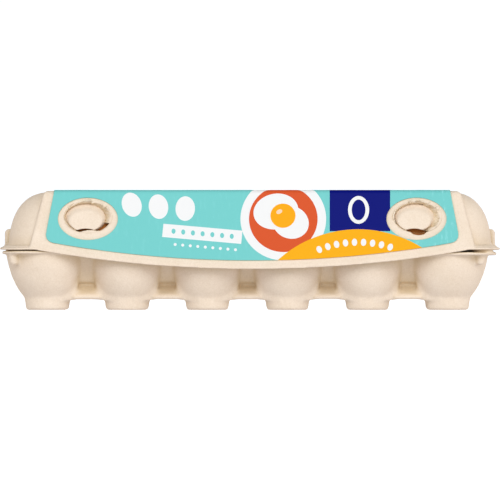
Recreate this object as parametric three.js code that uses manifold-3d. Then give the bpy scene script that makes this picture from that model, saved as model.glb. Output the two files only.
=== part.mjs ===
// A shut carton of moulded paper pulp for eighteen eggs, in three rows of six, with a paper
// label glued over its flat top and its sloping front. The tray, the hinge along the back and
// the lid are one moulding. Millimetres, +Z up, the front towards -Y, and the origin on the
// floor under the middle of the carton.
import * as THREE from 'three';
import { mergeVertices } from 'three/addons/utils/BufferGeometryUtils.js';
import Module from 'manifold-3d';

const wasm = await Module();
wasm.setup();

// Egg cups of the tray
const columns = 6;
const rows = 3;
const pitch = 48;
const footRadius = 12.2;
const footEdge = 1.4;
const footHeight = 6.8;
const footDraft = 0.8;
const bowlRadius = 24.2;
const bowlDepth = 38.9;
const bowlCentreZ = 40;
const bowlRises = [0.6, 6, 12, 19, 27.6]; // heights of its rings over the foot
const cupSides = 18;

// Webs, posts and rim of the tray
const webBottomZ = 7;
const webWidth = 9;
const webTaper = 1;
const lipReach = 8.2;
const lipHeight = 3;
const lipHalfLength = 15;
const valleyWidth = 8.3;
const valleyInset = 13;
const valleyStepZ = 16.2;
const postFootRadius = 9;
const postTopRadius = 4;
const postTopZ = 46;
const rimBottomZ = 33.5;
const rimTopZ = 35.1;
const rimHalfLength = 148;
const rimHalfDepth = 74;
const rimCorner = 17;
const cornerSegments = 6;

// Lid
const lidBottomZ = 36.1;
const lidRimThickness = 1.5;
const lidOverhang = 1.5;
const plateauZ = 71.2;
const panelSlope = THREE.MathUtils.degToRad(15);
const endSlope = THREE.MathUtils.degToRad(14.6);
const panelFootY = 75;
const panelHalfLength = 133.6;
const edgeRadius = 2.5;
const domeRadius = 24.5;
const domeHeight = 34.4;
const domePower = 2.3;
const domeSides = 22;
const gussetWidth = 8;
const gussetReach = 27;
const gussetTopZ = 48.5;
const gussetRound = 2.5;
const gussetLean = 0.4;

// Flap that carries the front panel down over the tray
const flapThickness = 2;
const flapLowZ = 24.6;
const flapEndX = 120;
const flapEndZ = 34.4;
const bowSegments = 16;

// Two locks: an oval hole in the panel, and a bean-shaped knob of the tray standing in it
const lockX = 98.2;
const lockZ = 54.5;
const holeHalfWidth = 14;
const holeHalfHeight = 10.1;
const holeShift = 0.7;
const holeDepth = 7;
const tongueHalfWidth = 5;
const tongueHeight = 2;
const knobHalfWidth = 11.5;
const knobHalfHeight = 9;
const knobShift = -1.5;
const lockLift = 0.4;
const lockSegments = 14;
const knobProud = 0.5;
const knobNotchRadius = 7;
const knobNotchDepth = 2.8;
const knobBevel = 1.2;

// Hinge, seam core and small lugs
const hingeRadius = 2.5;
const hingeHalfLength = 118;
const hingeY = 75.6;
const seamDepth = 8;
const lugAngle = THREE.MathUtils.degToRad(38);
const lugReach = 25.2;
const lugRadius = 2.4;
const lugFootRadius = 1.4;
const lugHeight = 6.8;

// The shut lid sits a little askew: the tray lies to the left under it, and its panel to the right
const traySlip = -1.6;
const rimSlip = -0.5;
const panelSlip = 1.3;

// Paper label
const labelGap = 0.3;
const labelThickness = 0.3;
const labelTopHalfLength = 118.3;
const labelSideSlope = THREE.MathUtils.degToRad(10.8);
const labelLowZ = 29.7;
const labelCornerX = 118;
const labelCornerZ = 40;
const labelSideZ = 47;
const labelBackY = 56;
const labelBackRound = 6;
const ringHalfWidth = 18;
const ringHalfHeight = 12.7;
const ringSegments = 16;

// A distance past the outside of the carton, for what cuts right through it
const beyond = 100;

const cupXs = Array.from({ length: columns }, (_, i) => (i - (columns - 1) / 2) * pitch);
const cupYs = Array.from({ length: rows }, (_, i) => (i - (rows - 1) / 2) * pitch);
const postXs = cupXs.slice(1).map((x) => x - pitch / 2);
const postYs = cupYs.slice(1).map((y) => y - pitch / 2);
const endX = cupXs[columns - 1];
const sideY = cupYs[rows - 1];
const seamZ = (rimTopZ + lidBottomZ) / 2;

// A closed geometry with its shared vertices merged, ready to be joined and cut
function solid(geometry) {
  const bare = geometry.clone();
  bare.deleteAttribute('normal');
  bare.deleteAttribute('uv');
  const merged = mergeVertices(bare, 1e-4);
  const index = merged.index.array;
  const triVerts = [];
  for (let i = 0; i < index.length; i += 3) {
    const [a, b, c] = index.slice(i, i + 3);
    if (a !== b && b !== c && c !== a) triVerts.push(a, b, c);
  }
  return new wasm.Manifold(new wasm.Mesh({
    numProp: 3,
    vertProperties: merged.attributes.position.array,
    triVerts: Uint32Array.from(triVerts),
  }));
}

function join(parts) {
  return parts.reduce((whole, part) => whole.add(part));
}

// A round body about the Z axis, from a profile of [radius, z] that runs from the floor up
function turned(profile, sides) {
  const points = profile.map(([radius, z]) => new THREE.Vector2(radius, z));
  const geometry = new THREE.LatheGeometry(points, sides);
  return solid(geometry.rotateX(Math.PI / 2));
}

// A shape drawn in X and Y, raised from z = low to z = high
function raised(shape, low, high, curveSegments = 8) {
  const geometry = new THREE.ExtrudeGeometry(shape, {
    depth: high - low, bevelEnabled: false, curveSegments,
  });
  return solid(geometry.translate(0, 0, low));
}

// A shape drawn in X and Z as seen from the front, running from y = near to y = far
function frontward(shape, near, far, curveSegments = 8) {
  const geometry = new THREE.ExtrudeGeometry(shape, {
    depth: far - near, bevelEnabled: false, curveSegments,
  });
  return solid(geometry.rotateX(Math.PI / 2).translate(0, far, 0));
}

// A shape drawn in Y and Z as seen from the end, running over |x| <= half
function lengthwise(shape, half) {
  const geometry = new THREE.ExtrudeGeometry(shape, { depth: 2 * half, bevelEnabled: false });
  const turn = new THREE.Matrix4().makeBasis(
    new THREE.Vector3(0, 1, 0), new THREE.Vector3(0, 0, 1), new THREE.Vector3(1, 0, 0),
  );
  return solid(geometry.applyMatrix4(turn).translate(-half, 0, 0));
}

function outline(points) {
  return new THREE.Shape(points.map(([u, v]) => new THREE.Vector2(u, v)));
}

// The plan of the tray's rim, a rectangle with rounded corners, grown by an overhang at its ends
function rimPlan(endGrowth = 0, sideGrowth = 0) {
  const shape = new THREE.Shape();
  const radius = rimCorner + endGrowth;
  const x = rimHalfLength + endGrowth - radius;
  const y = rimHalfDepth + sideGrowth - radius;
  shape.absarc(x, y, radius, 0, Math.PI / 2);
  shape.absarc(-x, y, radius, Math.PI / 2, Math.PI);
  shape.absarc(-x, -y, radius, Math.PI, 1.5 * Math.PI);
  shape.absarc(x, -y, radius, 1.5 * Math.PI, 2 * Math.PI);
  return shape;
}

// The front panel leans back as it rises
function panelY(z) {
  return -panelFootY + (z - lidBottomZ) * Math.tan(panelSlope);
}

// The face that the label lies on, in Y and Z: up the panel from z = low, round the top edge
// and back over the flat top to y = far, all of it moved outwards by a gap
function panelPath(low, far, gap) {
  const out = [-Math.cos(panelSlope), Math.sin(panelSlope)];
  const centreZ = plateauZ - edgeRadius;
  const centreY = panelY(plateauZ) + edgeRadius * (1 - out[1]) / -out[0];
  const path = [[panelY(low) + gap * out[0], low + gap * out[1]]];
  const steps = 4;
  for (let i = 0; i <= steps; i += 1) {
    const angle = Math.PI - panelSlope - (i / steps) * (Math.PI / 2 - panelSlope);
    const radius = edgeRadius + gap;
    path.push([centreY + radius * Math.cos(angle), centreZ + radius * Math.sin(angle)]);
  }
  path.push([far, plateauZ + gap]);
  return path;
}

// Places a solid that was drawn on the panel: X along it, Y up it and Z out of it
function onPanel(shape, x, z) {
  const frame = new THREE.Matrix4().makeBasis(
    new THREE.Vector3(1, 0, 0),
    new THREE.Vector3(0, Math.sin(panelSlope), Math.cos(panelSlope)),
    new THREE.Vector3(0, -Math.cos(panelSlope), Math.sin(panelSlope)),
  );
  return shape.transform(frame.setPosition(x, panelY(z), z).elements);
}

function cup() {
  const profile = [
    [0, 0],
    [footRadius - footEdge, 0],
    [footRadius, footEdge],
    [footRadius + footDraft, footHeight],
  ];
  for (const rise of bowlRises) {
    const z = footHeight + rise;
    const part = (bowlCentreZ - z) / bowlDepth;
    profile.push([bowlRadius * Math.sqrt(1 - part * part), z]);
  }
  profile.push([0, footHeight + bowlRises[bowlRises.length - 1]]);
  return turned(profile, cupSides);
}

function cups() {
  const one = cup();
  return cupXs.flatMap((x) => cupYs.map((y) => one.translate([x, y, 0])));
}

// Upright webs that join the cups in both directions, narrower towards the floor
function webs() {
  const top = webWidth / 2;
  const foot = top - webTaper;
  const section = outline([[-foot, webBottomZ], [foot, webBottomZ], [top, rimTopZ], [-top, rimTopZ]]);
  const along = lengthwise(section, endX);
  const across = lengthwise(section, sideY).rotate([0, 0, 90]);
  return [
    ...cupYs.map((y) => along.translate([0, y, 0])),
    ...cupXs.map((x) => across.translate([x, 0, 0])),
  ];
}

// A piece that faces the front, set into every valley round the outside at a depth from the
// middle of the outer cups
function inValleys(piece, depth) {
  const y = sideY - depth;
  const x = endX - depth;
  return [
    ...postXs.map((at) => piece.translate([at, -y, 0])),
    ...postXs.map((at) => piece.rotate([0, 0, 180]).translate([at, y, 0])),
    ...postYs.map((at) => piece.rotate([0, 0, 90]).translate([x, at, 0])),
    ...postYs.map((at) => piece.rotate([0, 0, -90]).translate([-x, at, 0])),
  ];
}

// The flat walls in the valleys, each ending above its web in a step
function valleyWalls() {
  const half = valleyWidth / 2;
  const wall = outline([[-half, -valleyInset], [half, -valleyInset], [half, 0], [-half, 0]]);
  return inValleys(raised(wall, valleyStepZ, rimTopZ), 2 * valleyInset - pitch / 2);
}

// The lips that the outer webs end in at their foot
function webLips() {
  const lip = outline([
    [0, webBottomZ],
    [-lipReach, webBottomZ],
    [-lipReach, webBottomZ + lipHeight / 2],
    [-lipReach / 2, webBottomZ + lipHeight],
    [0, webBottomZ + lipHeight],
  ]);
  return inValleys(lengthwise(lip, lipHalfLength), 0);
}

// Small teardrop lugs under the rim, on the four corner cups
function lugs() {
  const geometry = new THREE.CylinderGeometry(lugRadius, lugFootRadius, lugHeight, 8);
  const lug = solid(geometry.rotateX(Math.PI / 2));
  const x = endX + lugReach * Math.cos(lugAngle);
  const y = sideY + lugReach * Math.sin(lugAngle);
  const z = (rimBottomZ + rimTopZ - lugHeight) / 2;
  return [-1, 1].flatMap((sx) => [-1, 1].map((sy) => lug.translate([sx * x, sy * y, z])));
}

function tray() {
  const rim = raised(rimPlan(), rimBottomZ, rimTopZ, cornerSegments);
  const body = join([...cups(), ...webs(), ...webLips(), ...valleyWalls(), ...lugs()]);
  return body.translate([traySlip, 0, 0]).add(rim.translate([rimSlip, 0, 0]));
}

// The posts between every four cups are hollow from below
function postHollows() {
  const height = postTopZ - rimBottomZ + 2; // it starts a little below the rim
  const geometry = new THREE.CylinderGeometry(postTopRadius, postFootRadius, height, 8);
  const hollow = solid(geometry.rotateX(Math.PI / 2));
  const z = postTopZ - height / 2;
  return postXs.flatMap((x) => postYs.map((y) => hollow.translate([x + traySlip, y, z])));
}

// The front as it is seen head on: slanting ends, and a lower edge that dips in the middle
function frontOutline() {
  const shape = new THREE.Shape();
  const topHalf = panelHalfLength - (plateauZ - lidBottomZ) * Math.tan(endSlope);
  const rise = (flapEndZ - flapLowZ) * (panelHalfLength / flapEndX) ** 2;
  shape.moveTo(-panelHalfLength, flapLowZ + rise);
  shape.quadraticCurveTo(0, flapLowZ - rise, panelHalfLength, flapLowZ + rise);
  shape.lineTo(topHalf, plateauZ + 1);
  shape.lineTo(-topHalf, plateauZ + 1);
  return shape;
}

function lidBlock() {
  const front = panelPath(lidBottomZ, 0, 0);
  const back = front.slice(0, -1).reverse().map(([y, z]) => [-y, z]);
  const block = lengthwise(outline([...front.slice(0, -1), ...back].reverse()), panelHalfLength);
  const high = lidBottomZ + lidRimThickness;
  const wall = flapThickness / Math.cos(panelSlope);
  const flap = lengthwise(outline([
    [panelY(high) + wall, high],
    [panelY(high), high],
    [panelY(flapLowZ), flapLowZ],
    [panelY(flapLowZ) + wall, flapLowZ],
  ]), panelHalfLength);
  return block.add(flap).intersect(frontward(frontOutline(), -beyond, beyond, bowSegments));
}

function dome() {
  const steps = 7;
  const profile = [[0, 0]];
  for (let i = 0; i < steps; i += 1) {
    const height = Math.sin((i / steps) * (Math.PI / 2));
    const radius = domeRadius * (1 - height ** domePower) ** (1 / domePower);
    profile.push([radius, domeHeight * height]);
  }
  profile.push([0, domeHeight]);
  return turned(profile, domeSides);
}

function domes() {
  const one = dome();
  return [-endX, endX].flatMap((x) => cupYs.map((y) => one.translate([x, y, lidBottomZ])));
}

// Ribs that stand on the lid's rim in the valleys between the end domes
function gussets() {
  const half = gussetWidth / 2;
  const shape = new THREE.Shape();
  shape.moveTo(0, lidBottomZ);
  shape.lineTo(gussetReach + gussetLean, lidBottomZ);
  shape.lineTo(gussetReach, gussetTopZ - gussetRound);
  shape.quadraticCurveTo(gussetReach, gussetTopZ, gussetReach - gussetRound, gussetTopZ);
  shape.lineTo(0, gussetTopZ);
  const rib = frontward(shape, -half, half, 4);
  return postYs.flatMap((y) => [
    rib.translate([endX, y, 0]),
    rib.rotate([0, 0, 180]).translate([-endX, y, 0]),
  ]);
}

function oval(halfWidth, halfHeight) {
  return new THREE.Shape().absellipse(0, 0, halfWidth, halfHeight, 0, 2 * Math.PI);
}

// The hole in the panel, with a tongue of the panel rising at the middle of its lower edge
function lockHole() {
  const tongue = raised(oval(tongueHalfWidth, tongueHeight), -flapThickness, 5);
  return raised(oval(holeHalfWidth, holeHalfHeight), -holeDepth, 5, lockSegments)
    .subtract(tongue.translate([0, -holeHalfHeight, 0]));
}

// The bean: an oval with a round notch at the middle of its lower edge
function knob() {
  const length = holeDepth + 1;
  const geometry = new THREE.ExtrudeGeometry(oval(knobHalfWidth, knobHalfHeight), {
    depth: length,
    bevelThickness: knobBevel,
    bevelSize: knobBevel,
    bevelOffset: -knobBevel,
    bevelSegments: 2,
    curveSegments: lockSegments,
  });
  const notch = raised(oval(knobNotchRadius, knobNotchRadius), -length, length);
  const notchY = knobNotchDepth - knobHalfHeight - knobNotchRadius;
  return solid(geometry.translate(0, 0, knobProud - knobBevel - length))
    .subtract(notch.translate([0, notchY, 0]));
}

function lid() {
  const plan = rimPlan(lidOverhang, panelFootY - rimHalfDepth - 0.5);
  const rim = raised(plan, lidBottomZ, lidBottomZ + lidRimThickness, cornerSegments);
  const whole = join([lidBlock().translate([panelSlip, 0, 0]), ...domes(), ...gussets(), rim]);
  const hole = lockHole();
  const peg = knob();
  const z = lockZ + lockLift;
  const lockXs = [panelSlip - lockX, panelSlip + lockX];
  const holes = lockXs.map((x) => onPanel(hole, x + holeShift, z));
  const pegs = lockXs.map((x) => onPanel(peg, x + knobShift, z));
  return join([whole.subtract(join(holes)), ...pegs]);
}

// What closes the seam between the two rims, set back from the open edge
function seamCore() {
  const plan = rimPlan(-seamDepth, -seamDepth);
  return raised(plan, rimTopZ - 1, lidBottomZ + 1, cornerSegments).translate([rimSlip, 0, 0]);
}

function hinge() {
  const geometry = new THREE.CylinderGeometry(hingeRadius, hingeRadius, 2 * hingeHalfLength, 12);
  return solid(geometry.rotateZ(Math.PI / 2).translate(0, hingeY, seamZ));
}

function carton() {
  return join([tray(), seamCore(), lid(), hinge()]).subtract(join(postHollows()));
}

// The label from the front: slanting ends, rounded lower corners and a bowed lower edge
function labelOutline() {
  const shape = new THREE.Shape();
  const halfAt = (z) => labelTopHalfLength + (plateauZ - z) * Math.tan(labelSideSlope);
  const high = plateauZ + 2;
  const rise = labelCornerZ - labelLowZ;
  shape.moveTo(halfAt(high), high);
  shape.lineTo(-halfAt(high), high);
  shape.lineTo(-halfAt(labelSideZ), labelSideZ);
  shape.quadraticCurveTo(-halfAt(labelCornerZ), labelCornerZ + 1, -labelCornerX, labelCornerZ);
  shape.quadraticCurveTo(0, labelLowZ - rise, labelCornerX, labelCornerZ);
  shape.quadraticCurveTo(halfAt(labelCornerZ), labelCornerZ + 1, halfAt(labelSideZ), labelSideZ);
  return shape;
}

function label() {
  const inner = panelPath(labelLowZ - 1, labelBackY, labelGap);
  const outer = panelPath(labelLowZ - 1, labelBackY, labelGap + labelThickness);
  const sheet = lengthwise(outline([...inner, ...outer.reverse()]), panelHalfLength);
  const ring = frontward(oval(ringHalfWidth, ringHalfHeight), -beyond, -sideY, ringSegments);
  const rings = [-lockX, lockX].map((x) => ring.translate([x, 0, lockZ]));
  const corner = labelTopHalfLength - labelBackRound;
  const plan = new THREE.Shape();
  plan.moveTo(-panelHalfLength, -beyond);
  plan.lineTo(panelHalfLength, -beyond);
  plan.lineTo(panelHalfLength, 0);
  plan.lineTo(labelTopHalfLength, 0);
  plan.absarc(corner, labelBackY - labelBackRound, labelBackRound, 0, Math.PI / 2);
  plan.absarc(-corner, labelBackY - labelBackRound, labelBackRound, Math.PI / 2, Math.PI);
  plan.lineTo(-labelTopHalfLength, 0);
  plan.lineTo(-panelHalfLength, 0);
  return sheet
    .intersect(frontward(labelOutline(), -beyond, beyond, bowSegments))
    .intersect(raised(plan, 0, beyond))
    .subtract(join(rings))
    .translate([panelSlip, 0, 0]);
}

function mesh(name, shape, material) {
  const { vertProperties, triVerts } = shape.getMesh();
  const geometry = new THREE.BufferGeometry();
  geometry.setAttribute('position', new THREE.BufferAttribute(vertProperties, 3));
  geometry.setIndex(new THREE.BufferAttribute(triVerts, 1));
  geometry.computeVertexNormals();
  const part = new THREE.Mesh(geometry, material);
  part.name = name;
  return part;
}

const pulp = new THREE.MeshStandardMaterial({ color: 0xecdcc8, roughness: 0.95, metalness: 0 });
const paper = new THREE.MeshStandardMaterial({ color: 0x7cd7d3, roughness: 0.55, metalness: 0 });

const eggCarton = new THREE.Group();
eggCarton.add(mesh('carton', carton(), pulp));
eggCarton.add(mesh('label', label(), paper));

export default eggCarton;
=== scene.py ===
# A shut carton of moulded paper pulp for eighteen eggs, with a paper label over its top and
# front, on a white studio floor. Settings are in millimetres and degrees unless they say otherwise.
import bpy
import bmesh
import math
import random
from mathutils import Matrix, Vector


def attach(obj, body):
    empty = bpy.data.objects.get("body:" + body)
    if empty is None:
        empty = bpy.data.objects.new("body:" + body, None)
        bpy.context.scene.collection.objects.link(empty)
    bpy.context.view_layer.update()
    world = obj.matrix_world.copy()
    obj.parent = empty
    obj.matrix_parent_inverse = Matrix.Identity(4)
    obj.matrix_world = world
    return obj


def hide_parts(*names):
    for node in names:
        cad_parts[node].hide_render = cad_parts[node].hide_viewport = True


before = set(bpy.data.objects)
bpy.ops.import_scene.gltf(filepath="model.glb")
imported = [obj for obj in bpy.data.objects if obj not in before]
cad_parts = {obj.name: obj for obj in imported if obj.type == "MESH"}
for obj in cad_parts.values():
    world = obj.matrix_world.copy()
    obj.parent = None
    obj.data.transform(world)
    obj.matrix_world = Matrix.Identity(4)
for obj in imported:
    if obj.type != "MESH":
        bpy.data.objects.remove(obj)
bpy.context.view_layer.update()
mm = 0.001

carton = {  # the sizes that the pulp pieces share
    "pitch": 48,  # from one cup to the next, both ways
    "columns": 6,
    "rows": 3,
    "traySlip": -1.6,  # the tray lies a little to the left under the shut lid
    "rimSlip": -0.5,
    "panelSlip": 1.3,  # and the lid's panel a little to the right
    "rimHalfLength": 148,
    "rimHalfDepth": 74,
    "rimCorner": 17,
    "lidZ": 36.1,  # the underside of the lid's rim
    "panelFootY": 75,  # the front panel where it meets the rim
    "panelSlope": 15,  # it leans back as it rises
    "plateauZ": 71.2,
    "edgeRound": 2.5,  # between the panel and the flat top
    "lockX": 98.2,  # on both sides of the panel's middle
}


def centres(count):
    return [(i - (count - 1) / 2) * carton["pitch"] for i in range(count)]


cupXs, cupYs = centres(carton["columns"]), centres(carton["rows"])
postXs, postYs = centres(carton["columns"] - 1), centres(carton["rows"] - 1)
plateSegments = {"corner": 12, "edge": 2}
slope = math.radians(carton["panelSlope"])
panelOut = Vector((0, -math.cos(slope), math.sin(slope)))


def panelY(z):
    return -carton["panelFootY"] + (z - carton["lidZ"]) * math.tan(slope)


# Helpers for modelling


def pick(*pieces):
    bpy.ops.object.select_all(action="DESELECT")
    for piece in pieces:
        piece.select_set(True)
    bpy.context.view_layer.objects.active = pieces[0]


def settle(piece, name=None):
    pick(piece)
    bpy.ops.object.transform_apply(location=True, rotation=True, scale=True)
    if name:
        piece.name = piece.data.name = name
    return piece


def modify(piece, kind, **settings):
    pick(piece)
    modifier = piece.modifiers.new(kind.title(), kind)
    for key, value in settings.items():
        setattr(modifier, key, value)
    bpy.ops.object.modifier_apply(modifier=modifier.name)
    return piece


def cutWith(piece, cutter, operation="DIFFERENCE"):
    modify(piece, "BOOLEAN", object=cutter, operation=operation, solver="EXACT")
    bpy.data.objects.remove(cutter, do_unlink=True)
    return piece


def copyOf(piece, move, turn=0):
    twin = piece.copy()
    twin.data = piece.data.copy()
    bpy.context.collection.objects.link(twin)
    twin.rotation_euler.z = math.radians(turn)
    twin.location = [value * mm for value in move]
    return settle(twin)


def copyToAll(piece, places):
    twins = [copyOf(piece, place[:3], *place[3:]) for place in places]
    bpy.data.objects.remove(piece, do_unlink=True)
    return twins


def joinAll(name, pieces):
    pick(*pieces)
    bpy.ops.object.join()
    joined = bpy.context.object
    joined.name = joined.data.name = name
    return joined


def editing(piece):
    pick(piece)
    bpy.ops.object.mode_set(mode="EDIT")
    bpy.ops.mesh.select_all(action="DESELECT")
    return bmesh.from_edit_mesh(piece.data)


def doneEditing():
    bpy.ops.object.mode_set(mode="OBJECT")
    return bpy.context.object


def turnFacesOutwards():
    bpy.ops.mesh.select_all(action="SELECT")
    bpy.ops.mesh.normals_make_consistent(inside=False)
    return doneEditing()


def upright(a, b):
    return abs(a.z - b.z) > 0.1


def level(a, b):
    return abs(a.z - b.z) < 0.01


def below(z):
    return lambda at: at.z < z


def above(z):
    return lambda at: at.z > z


def bevelEdges(piece, rule, width, segments):
    mesh = editing(piece)
    bpy.ops.mesh.select_mode(type="EDGE")
    for edge in mesh.edges:
        if rule(edge.verts[0].co / mm, edge.verts[1].co / mm):
            edge.select_set(True)
    bmesh.update_edit_mesh(piece.data)
    bpy.ops.mesh.bevel(offset=width * mm, segments=segments, affect="EDGES")
    return doneEditing()


def block(low, high):
    size = [(b - a) * mm for a, b in zip(low, high)]
    place = [(a + b) / 2 * mm for a, b in zip(low, high)]
    bpy.ops.mesh.primitive_cube_add(size=1, location=place, scale=size)
    return settle(bpy.context.object)


def movePoints(piece, rule, shift=(0, 0, 0), resize=(1, 1, 1)):
    mesh = editing(piece)
    bpy.ops.mesh.select_mode(type="VERT")
    for vertex in mesh.verts:
        vertex.select_set(rule(vertex.co / mm))
    bmesh.update_edit_mesh(piece.data)
    bpy.ops.transform.resize(value=resize)
    bpy.ops.transform.translate(value=[value * mm for value in shift])
    return doneEditing()


def plate(halfX, halfY, corner, low, high, edge):
    piece = block((-halfX, -halfY, low), (halfX, halfY, high))
    bevelEdges(piece, upright, corner, plateSegments["corner"])
    return bevelEdges(piece, level, edge, plateSegments["edge"])


def turned(rings, sides):
    (radius, z), rest = rings[0], rings[1:]
    bpy.ops.mesh.primitive_circle_add(
        vertices=sides, radius=radius * mm, fill_type="NGON", location=(0, 0, z * mm)
    )
    settle(bpy.context.object)
    bpy.ops.object.mode_set(mode="EDIT")
    bpy.ops.mesh.select_all(action="SELECT")
    for nextRadius, nextZ in rest:
        bpy.ops.mesh.extrude_region_move(
            TRANSFORM_OT_translate={"value": (0, 0, (nextZ - z) * mm)}
        )
        factor = nextRadius / radius
        bpy.ops.transform.resize(value=(factor, factor, 1))
        radius, z = nextRadius, nextZ
    return doneEditing()


def placeOnPanel(piece, x, z, out=0):
    piece.rotation_euler.x = math.pi / 2 - slope
    piece.location = (Vector((x, panelY(z), z)) + panelOut * out) * mm
    return settle(piece)


def cloud(name, grain, depth=2):
    texture = bpy.data.textures.new(name, "CLOUDS")
    texture.noise_scale = grain * mm
    texture.noise_depth = depth
    return texture


def paintGroup(piece, name, rule):
    weights = piece.vertex_groups.new(name=name)
    for vertex in piece.data.vertices:
        weight = rule(vertex.co / mm, vertex.normal)
        if weight > 0:
            weights.add([vertex.index], weight, "REPLACE")


def facesDown(normal):
    return normal.z < -0.9


def triangles(piece):
    return sum(len(face.vertices) - 2 for face in piece.data.polygons)


def everywhere(at, normal):
    return 1


def nowhere(at, normal):
    return 0


# Turns the joined solids of a piece into one skin, softens it and gives it the relief of pulp.
# The rules say where the relief shows, where the piece drifts out of true and what is softened more
def mouldPulp(piece, settings, shown=everywhere, drift=nowhere, soft=nowhere):
    modify(piece, "REMESH", mode="VOXEL", voxel_size=settings["voxel"] * mm)
    modify(piece, "SMOOTH", factor=0.5, iterations=settings["smoothing"])
    if settings["softening"]:
        paintGroup(piece, "soft", soft)
        modify(piece, "SMOOTH", factor=0.5, iterations=settings["softening"], vertex_group="soft")
    paintGroup(piece, "shown", shown)
    paintGroup(piece, "drift", drift)
    for name, grain, height, direction, weights in settings["relief"]:
        modify(
            piece, "DISPLACE", texture=cloud(name, grain), strength=height * mm,
            mid_level=0.5, direction=direction, vertex_group=weights,
        )
    if triangles(piece) > settings["triangles"]:
        modify(piece, "DECIMATE", ratio=settings["triangles"] / triangles(piece))
    piece.vertex_groups.clear()
    pick(piece)
    bpy.ops.object.shade_smooth()
    return piece


# The tray: eighteen cups on round feet, the webs between them, the valleys round its sides and
# the rim

tray = {
    "foot": [(10.9, 0), (12, 0.3), (12.5, 1.3), (13.1, 5.6), (13.4, 6.8)],  # radius and height
    "bowlRadius": 24.5,
    "bowlDepth": 38.9,
    "bowlCentreZ": 40,
    "bowlZ": (7.6, 34.4),
    "bowlRings": 9,
    "sides": 56,
    "webZ": 6.8,
    "webHalfWidth": 1.2,
    "webDraft": 0.8,
    "wallHalfWidth": 4.4,  # the slanted wall in each valley
    "wallReach": (3.6, 15),  # out of the middle of the cups, at its foot and at the rim
    "wallFootZ": 16.3,
    "flankTurn": 28,  # the fillets that lead from the cups into the valleys
    "flankLength": (-2, 14.8),
    "flankReach": (13.2, 16.3),
    "flankZ": (6.5, 18.5),
    "flankArch": 1.7,
    "flankRound": 3,
    "flankCorner": 3.4,
    "roundSegments": 3,
    "lip": ((-8, -8.4, 6.5), (8, 0, 9)),
    "lipRise": 6.6,  # of its top, from its front to the web behind it
    "lipRound": 1.2,
    "rimZ": (33.3, 34.85),
    "rimTilt": 0.15,  # the left end stands a little higher
    "rimRound": 0.4,
    "seamZ": (33.9, 37.2),
    "seams": [(9, 20, 9), (2.4, 40, 15)],  # inside the rim at its ends and sides, and the corner
    "pressedEnd": (6, 5.2, 5.5),  # half width, inset at the sides and corner of the seam at the
    "pressedEndX": 139.6,  # right end, where the lid is pressed shut
    "post": [(9.2, 32), (6.4, 40), (4, 46), (1.5, 47.5)],
    "postSides": 24,
    "lug": [(1.4, 26.6), (2.6, 27.4), (3.1, 29.5), (3.1, 34)],
    "lugSides": 14,
    "lugAngle": 41,
    "lugReach": 25.8,
    "voxel": 0.75,
    "smoothing": 3,
    "softening": 14,
    "softZ": (7, 11, 30),  # from none to full, and its upper end
    "plainZ": (0.7, 35.85),  # no relief on the feet's ends and inside the lid
    "driftFrom": (138, 68, 32),  # beyond this x or y and above this z, so the rim alone
    "triangles": 190000,
    "relief": [
        ("trayUneven", 22, 0.7, "NORMAL", "shown"),
        ("trayGrain", 3.2, 0.16, "NORMAL", "shown"),
        ("trayDrift", 45, 0.6, "Z", "drift"),
    ],
}


def cupRings():
    rings = list(tray["foot"])
    low, high = tray["bowlZ"]
    for i in range(tray["bowlRings"]):
        z = low + (high - low) * i / (tray["bowlRings"] - 1)
        part = (tray["bowlCentreZ"] - z) / tray["bowlDepth"]
        rings.append((tray["bowlRadius"] * math.sqrt(1 - part * part), z))
    return rings


def trayWebs():
    half, low, high, draft = tray["webHalfWidth"], tray["webZ"], tray["rimZ"][1], tray["webDraft"]
    along = block((cupXs[0], -half, low), (cupXs[-1], half, high))
    movePoints(along, below(low + 1), resize=(1, draft, 1))
    across = block((-half, cupYs[0], low), (half, cupYs[-1], high))
    movePoints(across, below(low + 1), resize=(draft, 1, 1))
    webs = copyToAll(along, [(0, y, 0) for y in cupYs])
    return webs + copyToAll(across, [(x, 0, 0) for x in cupXs])


def valleyFlank(side):
    (foot, reach), (low, high) = tray["flankReach"], tray["flankZ"]
    near, far = sorted(side * end for end in tray["flankLength"])
    flank = block((near, -reach, low), (far, -foot / 2, high))
    movePoints(flank, below(low + 1), (0, reach - foot, 0))
    movePoints(flank, lambda at: at.z < low + 1 and at.x * side < 0, (0, 0, -tray["flankArch"]))

    def frontCorner(a, b):
        return upright(a, b) and min(a.x * side, b.x * side) > 1 and max(a.y, b.y) < 1 - foot

    def frontTop(a, b):
        return min(a.z, b.z) > high - 1 and max(a.y, b.y) < 1 - reach

    bevelEdges(flank, frontCorner, tray["flankCorner"], tray["roundSegments"])
    bevelEdges(flank, frontTop, tray["flankRound"], tray["roundSegments"])
    return copyToAll(flank, [(-side * carton["pitch"] / 2, 0, 0, side * tray["flankTurn"])])


def valley():
    half, (foot, top), low = tray["wallHalfWidth"], tray["wallReach"], tray["wallFootZ"]
    wall = block((-half, -foot, low), (half, foot, tray["rimZ"][1]))
    movePoints(wall, above(low + 1), (0, foot - top, 0))
    lip = block(*tray["lip"])
    front, top = tray["lip"][0][1] + 1, tray["lip"][1][2]
    movePoints(lip, lambda at: at.z > top - 1 and at.y > front, (0, 0, tray["lipRise"]))

    def frontEdge(a, b):
        return level(a, b) and max(a.y, b.y) < front

    bevelEdges(lip, frontEdge, tray["lipRound"], tray["roundSegments"])
    return joinAll("valley", [wall, lip, *valleyFlank(-1), *valleyFlank(1)])


def trayValleys():
    places = [(x, cupYs[0], 0) for x in postXs] + [(x, cupYs[-1], 0, 180) for x in postXs]
    places += [(i * cupXs[-1], y, 0, i * 90) for i in (-1, 1) for y in postYs]
    return copyToAll(valley(), places)


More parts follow.
